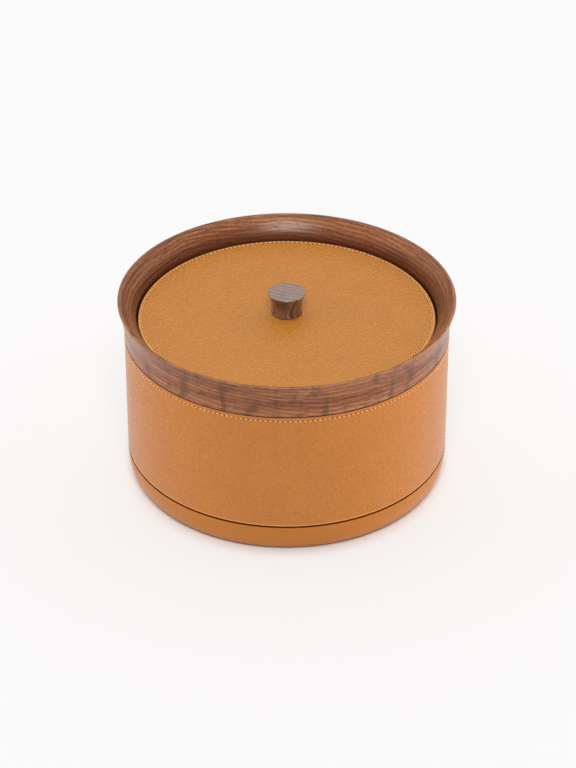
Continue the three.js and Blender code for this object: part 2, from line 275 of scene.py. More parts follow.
def stitch_mesh(name, count, pitch, place):
    """A row of stitches: each is a short thread that comes up out of one hole and goes down the next.

    place(angle, along, lift, aside) gives a point at a distance along the row from an angle.
    """
    bm = bmesh.new()
    half = pitch * STITCH_SHARE / 2
    for i in range(count):
        angle = TAU * (i + 0.5) / count
        loops = []
        for share in between(-1, 1, STITCH_RINGS):
            thickness = THREAD_R * (1 - STITCH_TAPER * share ** STITCH_TAPER_POWER)
            rise = STITCH_RISE * (1 - abs(share) ** STITCH_RISE_POWER)
            rise -= THREAD_R * abs(share) ** STITCH_DIVE_POWER
            loop = []
            for turn in even_angles(STITCH_SIDES):
                lift = rise + thickness * math.cos(turn)
                loop.append(bm.verts.new(place(angle, share * half, lift, thickness * math.sin(turn))))
            loops.append(loop)
        for here, there in zip(loops, loops[1:]):
            for side in range(STITCH_SIDES):
                other = (side + 1) % STITCH_SIDES
                bm.faces.new((here[side], here[other], there[other], there[side]))
        bm.faces.new(loops[0])
        bm.faces.new(loops[-1])
    return finished_mesh(name, bm, STITCH_SHARP_ANGLE)


# Materials
def srgb(red, green, blue):
    """A colour of 0 to 255 as Blender's linear colour."""
    def linear(value):
        value /= 255
        return value / 12.92 if value <= 0.04045 else ((value + 0.055) / 1.055) ** 2.4
    return (linear(red), linear(green), linear(blue), 1.0)


class Nodes:
    """Short calls that add nodes to a node tree."""

    def __init__(self, tree):
        self.tree = tree

    def add(self, kind, **settings):
        made = self.tree.nodes.new(kind)
        for key, value in settings.items():
            setattr(made, key, value)
        return made

    def feed(self, socket, value):
        if isinstance(value, bpy.types.NodeSocket):
            self.tree.links.new(value, socket)
        else:
            socket.default_value = value

    def math(self, operation, *values):
        made = self.add("ShaderNodeMath", operation=operation)
        for socket, value in zip(made.inputs, values):
            self.feed(socket, value)
        return made.outputs[0]

    def total(self, *terms):
        """The sum of (value, weight) terms."""
        result = 0.0
        for value, weight in terms:
            result = self.math("MULTIPLY_ADD", value, weight, result)
        return result

    def reach(self, a, b):
        return self.math("SQRT", self.math("ADD", self.math("MULTIPLY", a, a), self.math("MULTIPLY", b, b)))

    def span(self, value, low, high, to_low=0.0, to_high=1.0):
        """A value's place between two limits, eased at both ends."""
        made = self.add("ShaderNodeMapRange", interpolation_type="SMOOTHSTEP")
        for socket, item in zip(made.inputs, (value, low, high, to_low, to_high)):
            self.feed(socket, item)
        return made.outputs[0]

    def split(self, vector):
        made = self.add("ShaderNodeSeparateXYZ")
        self.feed(made.inputs[0], vector)
        return made.outputs[0], made.outputs[1], made.outputs[2]

    def vector_math(self, operation, first, second):
        made = self.add("ShaderNodeVectorMath", operation=operation)
        self.feed(made.inputs[0], first)
        self.feed(made.inputs[1], second)
        return made.outputs[0]

    def turned(self, vector, angle):
        made = self.add("ShaderNodeVectorRotate", rotation_type="Z_AXIS")
        self.feed(made.inputs["Vector"], vector)
        self.feed(made.inputs["Angle"], angle)
        return made.outputs[0]

    def noise(self, vector, scale=1.0, detail=2.0, roughness=0.5, w=0.0):
        made = self.add("ShaderNodeTexNoise", noise_dimensions="4D")
        inputs = {"Vector": vector, "W": w, "Scale": scale, "Detail": detail, "Roughness": roughness}
        for key, value in inputs.items():
            self.feed(made.inputs[key], value)
        return made.outputs[0]

    def cells(self, vector, size):
        """The distance from the nearest point of scattered ones, about a size in millimetres apart."""
        made = self.add("ShaderNodeTexVoronoi")
        self.feed(made.inputs["Vector"], vector)
        self.feed(made.inputs["Scale"], 1 / (size * MM))
        return made.outputs["Distance"]

    def ramp(self, factor, *stops):
        made = self.add("ShaderNodeValToRGB")
        elements = made.color_ramp.elements
        while len(elements) < len(stops):
            elements.new(1.0)
        for element, (position, colour) in zip(elements, stops):
            element.position = position
            element.color = colour
        self.feed(made.inputs[0], factor)
        return made.outputs[0]

    def mix(self, factor, first, second):
        made = self.add("ShaderNodeMix", data_type="RGBA")
        for index, value in ((0, factor), (6, first), (7, second)):
            self.feed(made.inputs[index], value)
        return made.outputs[2]


class Looks(Nodes):
    """A principled material."""

    def __init__(self, name):
        self.material = bpy.data.materials.new(name)
        self.material.use_nodes = True
        super().__init__(self.material.node_tree)
        self.shader = self.tree.nodes["Principled BSDF"]
        self.place = self.add("ShaderNodeTexCoord").outputs["Object"]

    def set(self, **values):
        for key, value in values.items():
            self.feed(self.shader.inputs[key.replace("_", " ")], value)

    def wavering(self, size, amount):
        """The place, pushed about by soft noise of a size and an amount in millimetres."""
        made = self.add("ShaderNodeTexNoise")
        self.feed(made.inputs["Vector"], self.place)
        self.feed(made.inputs["Scale"], 1 / (size * MM))
        centred = self.vector_math("SUBTRACT", made.outputs["Color"], (0.5, 0.5, 0.5))
        return self.vector_math("ADD", self.place, self.vector_math("MULTIPLY", centred, (amount * MM,) * 3))

    def bump(self, height, strength, distance):
        made = self.add("ShaderNodeBump")
        for key, value in (("Height", height), ("Strength", strength), ("Distance", distance * MM)):
            self.feed(made.inputs[key], value)
        self.feed(self.shader.inputs["Normal"], made.outputs[0])


# Leather
WALL_LEATHER = srgb(181, 105, 14)
LID_LEATHER = srgb(191, 119, 21)
BASE_LEATHER = srgb(176, 103, 18)
# Painted highlight, for the light caught by the wall's rounded foot and the lid's rounded edge
PAINTED_EDGE_HIGHLIGHT = srgb(222, 154, 84)
# Painted shade, for the shadow in the reveal under the rim and in the gap above the base
PAINTED_EDGE_SHADE = srgb(104, 42, 6)
LEATHER_SHEEN = (1.0, 0.97, 0.88, 1.0)
# Painted shade inside the stitch holes
HOLE_SHADE = srgb(110, 44, 0)
CLOUD_TINT = (1.04, 1.06, 1.15)
CLOUD_SCALE = 26
CLOUD_DETAIL = 4
CLOUD_LOW = 0.35
CLOUD_HIGH = 0.65
# Painted shade in the creases between the pebbles
CREASE_SHADE_TINT = (0.72, 0.62, 0.4)

# Pebbles of the leather: sizes are shares of the grain, heights are shares of the pebbles' depth
WAVER_SIZE = 1.5
WAVER_AMOUNT = 0.5
PEBBLE_FOOT = 0.75
PEBBLE_CROWN = 0.05
PEBBLE_HEIGHT = 0.8
PEBBLE_DEPTH = 0.5
SMALL_PEBBLE_SIZE = 0.42
SMALL_PEBBLE_HEIGHT = -0.15
CREASE_TOP = 0.37
CREASE_BOTTOM = -0.13
CREASE_SHARE = 0.5
ROUGH_BELOW = -0.03
SMOOTH_ABOVE = 0.57
CREASE_ROUGHNESS = 0.1
HOLE_CORE = 0.5
HOLE_HEIGHT = -1.5

# Where a colour starts and where it is full, as distances from an edge of the leather
WALL_FOOT_FADE = (1.4, 0.6)
WALL_TOP_FADE = (0.5, 0.2)
LID_EDGE_FADE = (2.2, 1.4)
BASE_TOP_FADE = (0.15, 0.05)


def tinted(colour, shares):
    """A colour with its red, green and blue each multiplied by a share."""
    return tuple(part * share for part, share in zip(colour, shares)) + (1.0,)


def fade(coordinate, edge, inwards, distances, colour):
    """The stretch of leather over which a colour comes in towards an edge. inwards is 1 or -1."""
    start, full = distances
    return (coordinate, edge + inwards * start, edge + inwards * full, colour)


def leather(name, dye, grain, relief, gloss, roughness, edges, row=None):
    """Pebbled leather of a colour.

    grain is the size of a pebble, in millimetres, and roughness that of its top.
    edges are (coordinate, start, end, colour): stretches, in millimetres, over which the colour turns.
    row is (coordinate, position, stitch count, pitch) of a row of stitches, whose holes are pressed in.
    A coordinate is "z" or "reach", the distance from the axis.
    """
    looks = Looks(name)
    x, y, z = looks.split(looks.place)
    coordinates = {"z": z, "reach": looks.reach(x, y)}
    wavy = looks.wavering(grain * WAVER_SIZE, grain * WAVER_AMOUNT)
    pebble = looks.span(looks.cells(wavy, grain), PEBBLE_FOOT, PEBBLE_CROWN)
    small = looks.cells(wavy, grain * SMALL_PEBBLE_SIZE)
    height = looks.total((pebble, PEBBLE_HEIGHT), (small, SMALL_PEBBLE_HEIGHT))
    cloud = looks.span(looks.noise(looks.place, CLOUD_SCALE, CLOUD_DETAIL), CLOUD_LOW, CLOUD_HIGH)
    # Painted shade: the creases between the pebbles are darker
    crease = looks.span(height, CREASE_TOP, CREASE_BOTTOM, 0, CREASE_SHARE * relief)
    colour = looks.mix(cloud, dye, tinted(dye, CLOUD_TINT))
    colour = looks.mix(crease, colour, tinted(dye, CREASE_SHADE_TINT))
    for coordinate, start, end, edge_colour in edges:
        colour = looks.mix(looks.span(coordinates[coordinate], start * MM, end * MM), colour, edge_colour)
    roughness = looks.span(height, ROUGH_BELOW, SMOOTH_ABOVE, roughness + CREASE_ROUGHNESS, roughness)
    if row:
        coordinate, position, count, pitch = row
        turn = looks.math("MULTIPLY", looks.math("ARCTAN2", y, x), count / TAU)
        along = looks.math("MULTIPLY", looks.math("PINGPONG", turn, 0.5), pitch * MM)
        aside = looks.math("SUBTRACT", coordinates[coordinate], position * MM)
        # The stitch holes are pressed in by the bump and darkened with painted shade
        hole = looks.span(looks.reach(along, aside), HOLE_R * MM, HOLE_R * HOLE_CORE * MM)
        colour = looks.mix(hole, colour, HOLE_SHADE)
        height = looks.math("MULTIPLY_ADD", hole, HOLE_HEIGHT, height)
        roughness = looks.math("MAXIMUM", roughness, hole)
    looks.set(Base_Color=colour, Roughness=roughness, Specular_IOR_Level=gloss, Specular_Tint=LEATHER_SHEEN)
    looks.bump(height, strength=relief, distance=PEBBLE_DEPTH)
    return looks.material


# Walnut: a grain is its waves per metre along the fibres, those across them, and its detail
RIM_TONES = (srgb(92, 47, 26), srgb(138, 82, 49), srgb(170, 114, 78))
KNOB_TONES = (srgb(42, 22, 14), srgb(72, 42, 27), srgb(132, 93, 73))
TONE_STOPS = (0.4, 0.5, 0.6)
BROAD_GRAIN = (4, 80, 1)
STREAK_GRAIN = (9, 620, 3)
END_STREAK_GRAIN = (9, 300, 3)
HAIR_GRAIN = (18, 1300, 2)
PORE_GRAIN = (140, 1900, 1)
END_GRAIN_STRETCH = 0.12
GRAIN_ROUGHNESS = 0.6
FLECK_SCALE = 330
BROAD_SHARE = 0.2
STREAK_SHARE = 0.36
HAIR_SHARE = 0.38
FLECK_SHARE = 0.14
PORE = srgb(54, 28, 15)
PORE_EDGE = 0.4
PORE_CORE = 0.3
PORE_SHARE = 0.7
PORE_HEIGHT = -1.0
HAIR_HEIGHT = 0.6
HAIR_LOW = 0.35
HAIR_HIGH = 0.65
WOOD_ROUGH = 0.34
WOOD_SMOOTH = 0.22
WAX_ROUGHNESS = 0.25

# Growth rings of the walnut: layers in millimetres, and the dark late wood at the end of each year
RIM_LAYER = 3.6
KNOB_LAYER = 4.4
KNOB_TILT = math.radians(16)
YEAR_WANDER = 5.0
YEAR_WANDER_SCALE = 14
LATE_START = 0.3
LATE_FULL = 0.9
LATE_BREAK_LOW = 0.4
LATE_BREAK_HIGH = 0.6
LATE_BREAK_SHARE = 0.3
LATE_SHARE = -0.1
END_LATE_SHARE = -0.18
TOP_LATE_SHARE = -0.22
# The knob's top is paler: partly its end grain, partly a painted sheen
TOP_SHEEN_SHARE = 0.16
TOP_START = 0.4
TOP_FULL = 0.1

# Marks and painted light of the rim: its dish and rebate painted darker, its figure, and a painted highlight
# on its lip, with radii, pitches and depths in millimetres
DISH_DARK_R = 125.0
DISH_PALE_R = 138.0
DISH_SHADE_SHARE = 0.035
FIGURE = srgb(72, 46, 33)
FIGURE_PITCH = 21.0
FIGURE_WANDER = 2.5
FIGURE_WANDER_SCALE = 24
FIGURE_GAP = -0.2
FIGURE_DEPTH = 60.0
FIGURE_SHARE = 0.55
PATCH_SCALE = 70
PATCH_LOW = 0.4
PATCH_HIGH = 0.58
# Painted shade on the rim's inside, darkest at the lid's rebate
REBATE_PAINTED_SHADE = srgb(64, 23, 6)
REBATE_RISE = 13.0
REBATE_DROP = 1.0
REBATE_SHARE = 0.8
REBATE_EASE = 1.0
# Painted highlight along the top of the rim's lip
LIP_PAINTED_HIGHLIGHT = srgb(208, 168, 142)
LIP_HIGHLIGHT_SHARE = 0.2
LIP_HIGHLIGHT_TOP = (0.6, 0.3)
LIP_HIGHLIGHT_SIDE = (1.2, 0.7)


def walnut(name, fibre, tones, layer, gloss, wax):
    """Oiled walnut whose fibres run round the axis ("ring") or along "x", "y" or "z".

    layer is the thickness of a year's growth, in millimetres. wax is the weight of a glossier coat.
    """
    looks = Looks(name)
    place = looks.turned(looks.place, KNOB_TILT) if fibre == "z" else looks.place
    x, y, z = looks.split(place)
    radius = looks.reach(x, y)

    def grain(along, across, detail):
        scales = {
            "ring": (along, along, across),
            "x": (along, across, across),
            "y": (across, along, across),
            "z": (across * END_GRAIN_STRETCH, across, along),
        }[fibre]
        w = looks.math("MULTIPLY", radius, across) if fibre == "ring" else 0.0
        scaled = looks.vector_math("MULTIPLY", place, scales)
        return looks.noise(scaled, detail=detail, roughness=GRAIN_ROUGHNESS, w=w)

    # How much each coordinate counts in the distance across the layers
    across_growth = {
        "ring": ((z, 0.8), (radius, 0.6), (x, 0.07)),
        "x": ((y, 0.8), (z, 0.6)),
        "y": ((x, 0.8), (z, 0.6)),
        "z": ((y, 1.0),),
    }[fibre]
    wander = looks.noise(place, YEAR_WANDER_SCALE)
    years = looks.total((looks.total(*across_growth), 1 / (layer * MM)), (wander, YEAR_WANDER))
    year = looks.math("FRACT", years)
    streak = grain(*(END_STREAK_GRAIN if fibre == "z" else STREAK_GRAIN))
    hair = grain(*HAIR_GRAIN)
    late = looks.math("MULTIPLY", looks.span(year, LATE_START, LATE_FULL), looks.span(year, 1, LATE_FULL))
    breaks = looks.span(streak, LATE_BREAK_LOW, LATE_BREAK_HIGH, LATE_BREAK_SHARE, 1)
    late = looks.math("MULTIPLY", late, breaks)
    terms = [
        (grain(*BROAD_GRAIN), BROAD_SHARE), (streak, STREAK_SHARE), (hair, HAIR_SHARE),
        (looks.noise(place, FLECK_SCALE), FLECK_SHARE),
        (late, END_LATE_SHARE if fibre == "z" else LATE_SHARE),
    ]
    if fibre == "ring":
        # Painted shade: the rim's dished inside is darker towards the axis
        terms.append((looks.span(radius, DISH_DARK_R * MM, DISH_PALE_R * MM, -1, 0), DISH_SHADE_SHARE))
    if fibre == "z":
        # The knob's top is paler: partly its end grain, partly a painted sheen
        top = looks.span(z, (knob_high.z - TOP_START) * MM, (knob_high.z - TOP_FULL) * MM)
        terms += [(top, TOP_SHEEN_SHARE), (looks.math("MULTIPLY", top, late), TOP_LATE_SHARE)]
    colour = looks.ramp(looks.total(*terms), *zip(TONE_STOPS, tones))
    pores = looks.span(grain(*PORE_GRAIN), PORE_EDGE, PORE_CORE)
    colour = looks.mix(looks.math("MULTIPLY", pores, PORE_SHARE), colour, PORE)
    if fibre == "ring":
        colour = rim_marks(looks, colour)
    looks.set(Base_Color=colour, Roughness=looks.span(hair, HAIR_LOW, HAIR_HIGH, WOOD_ROUGH, WOOD_SMOOTH))
    looks.set(Specular_IOR_Level=gloss, Coat_Weight=wax, Coat_Roughness=WAX_ROUGHNESS)
    looks.bump(looks.total((hair, HAIR_HEIGHT), (pores, PORE_HEIGHT)), strength=0.3, distance=0.15)
    return looks.material


def rim_marks(looks, colour):
    """The rim's colour with a rippled figure on its front, painted shade darkening its inside towards the
    lid's rebate and a painted highlight on its lip.
    """
    x, y, z = looks.split(looks.place)
    radius = looks.reach(x, y)
    wander = looks.noise(looks.place, FIGURE_WANDER_SCALE)
    turn = looks.total((looks.math("ARCTAN2", y, x), LIP_R / FIGURE_PITCH), (wander, FIGURE_WANDER))
    ripple = looks.span(looks.math("SINE", looks.math("MULTIPLY", turn, TAU)), FIGURE_GAP, 1)
    patch = looks.span(looks.noise(looks.place, PATCH_SCALE, 1), PATCH_LOW, PATCH_HIGH)
    front = looks.span(y, 0, -FIGURE_DEPTH * MM, 0, FIGURE_SHARE)
    figure = looks.math("MULTIPLY", looks.math("MULTIPLY", ripple, patch), front)
    colour = looks.mix(figure, colour, FIGURE)
    # Painted shade: the inside darkens towards the lid
    deep = looks.span(z, (LID_TOP_Z + REBATE_RISE) * MM, (LID_TOP_Z - REBATE_DROP) * MM, 0, REBATE_SHARE)
    inner = looks.span(radius, BODY_R * MM, (BODY_R - REBATE_EASE) * MM)
    colour = looks.mix(looks.math("MULTIPLY", deep, inner), colour, REBATE_PAINTED_SHADE)
    # Painted highlight on the lip's outer top edge
    lip_start, lip_full = ((rim_high.z - drop) * MM for drop in LIP_HIGHLIGHT_TOP)
    edge_start, edge_full = ((LIP_R - inset) * MM for inset in LIP_HIGHLIGHT_SIDE)
    lip = looks.span(z, lip_start, lip_full, 0, LIP_HIGHLIGHT_SHARE)
    lip_highlight = looks.math("MULTIPLY", lip, looks.span(radius, edge_start, edge_full))
    return looks.mix(lip_highlight, colour, LIP_PAINTED_HIGHLIGHT)


# Other materials
def cloth(name, colour, deep, fibre_size, sheen):
    """A napped cloth, such as suede or felt."""
    looks = Looks(name)
    nap = looks.noise(looks.place, 1 / (fibre_size * MM), detail=4, roughness=0.7)
    tone = looks.total((nap, 0.6), (looks.noise(looks.place, scale=30, detail=3), 0.4))
    looks.set(Base_Color=looks.ramp(tone, (0.35, deep), (0.62, colour)))
    looks.set(Roughness=0.95, Sheen_Weight=sheen, Sheen_Roughness=0.5, Specular_IOR_Level=0.2)
    looks.bump(nap, strength=0.5, distance=0.3)
    return looks.material


def thread(name, colour, deep, twist_size):
    """Waxed thread."""
    looks = Looks(name)
    twist = looks.noise(looks.place, 1 / (twist_size * MM))
    looks.set(Base_Color=looks.ramp(twist, (0.3, deep), (0.6, colour)), Roughness=0.6, Sheen_Weight=0.2)
    looks.bump(twist, strength=0.4, distance=0.15)
    return looks.material


TURNED_LINES = 3000
TURNED_DRIFT = 40
METAL_ROUGHNESS_SPREAD = 0.08


def metal(name, colour, deep, roughness):
    """Turned metal with fine lines round the axis."""
    looks = Looks(name)
    x, y, _ = looks.split(looks.place)
    place = looks.vector_math("MULTIPLY", looks.place, (TURNED_DRIFT, TURNED_DRIFT, TURNED_LINES))
    lines = looks.noise(place, w=looks.math("MULTIPLY", looks.reach(x, y), TURNED_LINES))
    rough = roughness + METAL_ROUGHNESS_SPREAD
    smooth = roughness - METAL_ROUGHNESS_SPREAD
    looks.set(Base_Color=looks.ramp(lines, (0.3, deep), (0.7, colour)), Metallic=1.0)
    looks.set(Roughness=looks.span(lines, 0.2, 0.8, smooth, rough))
    looks.bump(lines, strength=0.1, distance=0.05)
    return looks.material


def pressed_board(name, colour, deep, fibre_scales):
    """Raw pressed board with short fibres."""
    looks = Looks(name)
    place = looks.vector_math("MULTIPLY", looks.place, fibre_scales)
    fibres = looks.noise(place, detail=4, roughness=0.65)
    looks.set(Base_Color=looks.ramp(fibres, (0.3, deep), (0.65, colour)), Roughness=0.85)
    looks.bump(fibres, strength=0.3, distance=0.2)
    return looks.material


def moulded(name, colour, deep):
    """Moulded plastic with a faint cloud and a fine matt skin."""
    looks = Looks(name)
    cloud = looks.noise(looks.place, scale=160, detail=3)
    looks.set(Base_Color=looks.ramp(cloud, (0.3, deep), (0.7, colour)), Roughness=0.45)
    looks.bump(looks.noise(looks.place, scale=5000), strength=0.1, distance=0.05)
    return looks.material


wall_hide = leather(
    "wall_hide", WALL_LEATHER, grain=2.4, relief=0.55, gloss=0.72, roughness=0.25,
    edges=[
        # painted highlight along the wall's rounded foot
        fade("z", wall_low.z, 1, WALL_FOOT_FADE, PAINTED_EDGE_HIGHLIGHT),
        # painted shade at the wall's top edge, in the reveal under the rim
        fade("z", wall_high.z, -1, WALL_TOP_FADE, PAINTED_EDGE_SHADE),
    ],
    row=("z", WALL_STITCH_Z, WALL_STITCHES, WALL_PITCH))
lid_hide = leather(
    "lid_hide", LID_LEATHER, grain=2.6, relief=0.95, gloss=0.85, roughness=0.42,
    # painted highlight along the lid's rounded edge
    edges=[fade("reach", LID_R, -1, LID_EDGE_FADE, PAINTED_EDGE_HIGHLIGHT)],
    row=("reach", LID_STITCH_R, LID_STITCHES, LID_PITCH))
base_hide = leather(
    "base_hide", BASE_LEATHER, grain=1.6, relief=0.2, gloss=0.5, roughness=0.3,
    # painted shade on the base's top, in the gap under the box
    edges=[fade("z", base_high.z, -1, BASE_TOP_FADE, PAINTED_EDGE_SHADE)])
rim_wood = walnut("rim_wood", "ring", RIM_TONES, RIM_LAYER, gloss=0.28, wax=0)
knob_wood = walnut("knob_wood", "z", KNOB_TONES, KNOB_LAYER, gloss=0.8, wax=1)
long_wood = walnut("long_slat_wood", "x", RIM_TONES, RIM_LAYER, gloss=0.32, wax=0)
cross_wood = walnut("cross_slat_wood", "y", RIM_TONES, RIM_LAYER, gloss=0.32, wax=0)
suede = cloth("suede", srgb(150, 112, 78), srgb(112, 80, 54), fibre_size=0.5, sheen=0.3)
felt = cloth("felt", srgb(78, 62, 52), srgb(48, 37, 30), fibre_size=0.8, sheen=0.2)
stitch_thread = thread("stitch_thread", srgb(252, 186, 102), srgb(228, 152, 70), twist_size=0.4)
board = pressed_board("board", srgb(190, 162, 124), srgb(150, 120, 84), fibre_scales=(300, 300, 900))
aluminium = metal("turned_aluminium", srgb(205, 207, 209), srgb(170, 172, 175), roughness=0.35)
steel = metal("plain_steel", srgb(200, 200, 200), srgb(160, 160, 162), roughness=0.25)
brass = metal("turned_brass", srgb(214, 176, 96), srgb(176, 136, 64), roughness=0.3)
nylon = moulded("nylon", srgb(236, 234, 228), srgb(218, 214, 205))


# Pieces
def piece(mesh, material, body, slot, *nodes):
    """Puts a mesh into the scene, on a body, in place of the solids that it replaces."""
    made = bpy.data.objects.new(mesh.name, mesh)
    scene.collection.objects.link(made)
    mesh.materials.append(material)
    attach(made, body)
    if nodes:
        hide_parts(*nodes)


def channel(distance):
    """Depth of the shallow channel that a row of stitches lies in."""
    share = min(abs(distance) / CHANNEL_HALF, 1.0)
    return CHANNEL_DEPTH * (1 - share ** 2) ** 2


def wall_outline():
    """The wall's leather: turned in at its foot, with a channel for the stitches under its cut top edge."""
    outline = [(WALL_INNER_R, wall_low.z)]
    outline += corner(BODY_R, wall_low.z, WALL_EDGE, False)
    for z in between(WALL_STITCH_Z - CHANNEL_HALF, WALL_STITCH_Z + CHANNEL_HALF, CHANNEL_POINTS):
        outline.append((BODY_R - channel(z - WALL_STITCH_Z), z))
    outline += arc(BODY_R - CUT_EDGE, wall_high.z - CUT_EDGE, CUT_EDGE, 0, 90)
    outline.append((BODY_R - LEATHER, wall_high.z))
    outline += corner(BODY_R - LEATHER, wall_low.z + LEATHER, WALL_EDGE - LEATHER, False)[::-1]
    outline.append((WALL_INNER_R, wall_low.z + LEATHER))
    return outline


def seam_inset(angle, radius):
    """How far the leather's outside dips in at the butt seam."""
    if radius < BODY_R - LEATHER / 2:
        return 0.0
    distance = abs(angle - SEAM_ANGLE) * BODY_R
    return SEAM_DEPTH * max(0.0, 1 - distance / SEAM_HALF) ** SEAM_POWER


def wall_angles():
    """Even columns, with closer ones across the seam."""
    offsets = between(-SEAM_CLEAR / 2, SEAM_CLEAR / 2, SEAM_POINTS)
    seam = [SEAM_ANGLE + offset / BODY_R for offset in offsets]
    clear = [angle for angle in even_angles() if abs(angle - SEAM_ANGLE) * BODY_R > SEAM_CLEAR]
    return sorted(clear + seam)


def wall_stitch(angle, along, lift, aside):
    turn = angle + along / BODY_R
    radius = (BODY_R - CHANNEL_DEPTH + lift) * MM
    return (radius * math.cos(turn), radius * math.sin(turn), (WALL_STITCH_Z + aside) * MM)


piece(
    lathe("wall_leather_skin", wall_outline(), wall_angles(), seam_inset),
    wall_hide, "box", "leather_tan", "wall_leather")
piece(stitch_mesh("wall_stitches", WALL_STITCHES, WALL_PITCH, wall_stitch), stitch_thread, "box", "thread")


# Base
def base_path(inset):
    """A line through the base's leather, at a depth below its outside."""
    shoulder = base_high.z - LEATHER_EDGE_R
    foot_r = BODY_R - BASE_ROUND
    path = [(foot_r - TURN_IN, base_low.z + inset)]
    path += oval(foot_r, shoulder, BASE_ROUND - inset, shoulder - base_low.z - inset, -90, 0, CURVE_STEPS)
    path += corner(BODY_R - inset, base_high.z - inset, BASE_EDGE - inset, True)
    path.append((BODY_R - LEATHER_EDGE_R - TURN_IN, base_high.z - inset))
    return path


felt_outline = [(0, 0), (felt_high.x - FELT_EDGE, 0)]
felt_outline += arc(felt_high.x - FELT_EDGE, FELT_EDGE, FELT_EDGE, -90, 0)[1:]
felt_outline += [(felt_high.x, felt_high.z), (0, felt_high.z)]
piece(
    lathe("base_leather_skin", base_path(0) + base_path(LEATHER)[::-1]),
    base_hide, "base", "leather_tan", "base_leather")
piece(lathe("base_felt_pad", felt_outline), felt, "base", "felt", "base_felt")


# Rim
def rim_outline():
    """The rim: a spigot in the wall, a flared outside, a thin lip, a dished inside and the lid's ledge."""
    rebate_r = LID_R + LID_CLEARANCE
    lip_inner = LIP_R - LIP_THICKNESS
    ledge = lid_low.z - LID_SEAT
    flared = flare(BODY_R, LIP_R, RIM_FOOT_Z, rim_high.z, RIM_FLARE_POWER)
    dished = flare(rebate_r, lip_inner, LID_TOP_Z, rim_high.z, RIM_DISH_POWER)
    lean = math.atan(RIM_DISH_POWER * (lip_inner - rebate_r) / (rim_high.z - LID_TOP_Z))
    lip_round_r = lip_inner + LIP_EDGE * (1 - math.sin(lean)) / math.cos(lean)
    outline = [(SPIGOT_R, rim_low.z), (SPIGOT_R, RIM_FOOT_Z)]
    outline += arc(BODY_R - RIM_EDGE, RIM_FOOT_Z + RIM_EDGE, RIM_EDGE, -90, 0)
    outline += [(r, z) for r, z in flared if RIM_FOOT_Z + RIM_EDGE < z < rim_high.z - LIP_EDGE]
    outline += arc(LIP_R - LIP_EDGE, rim_high.z - LIP_EDGE, LIP_EDGE, 0, 90)
    outline += arc(lip_round_r, rim_high.z - LIP_EDGE, LIP_EDGE, 90, 180 - math.degrees(lean))
    outline += [(r, z) for r, z in dished[::-1] if z < rim_high.z - LIP_EDGE]
    outline.append((rebate_r, ledge))
    outline += arc(INTERIOR_R + RIM_EDGE, ledge - RIM_EDGE, RIM_EDGE, 90, 180)
    outline.append((INTERIOR_R, rim_low.z))
    return outline


piece(lathe("rim_turned", rim_outline()), rim_wood, "box", "walnut", "rim_ring")


# Linings
def sheet_ring(inner_r, outer_r, bottom, top):
    return [(inner_r, bottom), (outer_r, bottom), (outer_r, top), (inner_r, top)]


piece(
    lathe("wall_lining_suede", sheet_ring(INTERIOR_R, lining_high.x, lining_low.z, lining_high.z)),
    suede, "box", "lining_suede", "wall_lining")
piece(
    lathe("floor_lining_suede", sheet_ring(0, floor_high.x, floor_low.z, floor_high.z)),
    suede, "box", "lining_suede", "floor_lining")
piece(
    lathe("lid_lining_suede", sheet_ring(0, lid_lining_high.x, lid_lining_low.z, lid_lining_high.z)),
    suede, "lid", "lining_suede", "lid_lining")

# Divider
long_mesh = slat_mesh("divider_long_slat_wood", True)
cross_mesh = slat_mesh("divider_cross_slat_wood", False)
for vert in cross_mesh.vertices:
    vert.co = Vector((-vert.co.y, vert.co.x, vert.co.z))
piece(long_mesh, long_wood, "divider", "walnut", "divider_long_slat")
piece(cross_mesh, cross_wood, "divider", "walnut", "divider_cross_slat")


# Lid
def lid_top(radius):
    """Height of the lid's crowned top at a radius."""
    return LID_TOP_Z + LID_CROWN * (1 - (radius / LID_CROWN_R) ** 2)


def lid_path(inset):
    """A line through the lid's leather, at a depth below its outside."""
    path = [(LID_CROWN_R - TURN_IN, lid_low.z + inset)]
    path += arc(LID_CROWN_R, lid_low.z + LEATHER_EDGE_R, LEATHER_EDGE_R - inset, -90, 0)
    path += arc(LID_CROWN_R, LID_TOP_Z - LEATHER_EDGE_R, LEATHER_EDGE_R - inset, 0, 90)
    radii = between(LID_STITCH_R + CHANNEL_HALF, LID_STITCH_R - CHANNEL_HALF, CHANNEL_POINTS)
    radii += between(LID_STITCH_R - 2 * CHANNEL_HALF, KNOB_HOLE_R, LID_POINTS)
    for radius in radii:
        pressed = channel(radius - LID_STITCH_R) if inset == 0 else 0.0
        path.append((radius, lid_top(radius) - inset - pressed))
    return path


def lid_stitch(angle, along, lift, aside):
    turn = angle + along / LID_STITCH_R
    radius = LID_STITCH_R + aside
    height = lid_top(radius) - CHANNEL_DEPTH + lift
    return (radius * math.cos(turn) * MM, radius * math.sin(turn) * MM, height * MM)


piece(
    lathe("lid_leather_skin", lid_path(0) + lid_path(LEATHER)[::-1]),
    lid_hide, "lid", "leather_tan", "lid_leather")
piece(stitch_mesh("lid_stitches", LID_STITCHES, LID_PITCH, lid_stitch), stitch_thread, "lid", "thread")


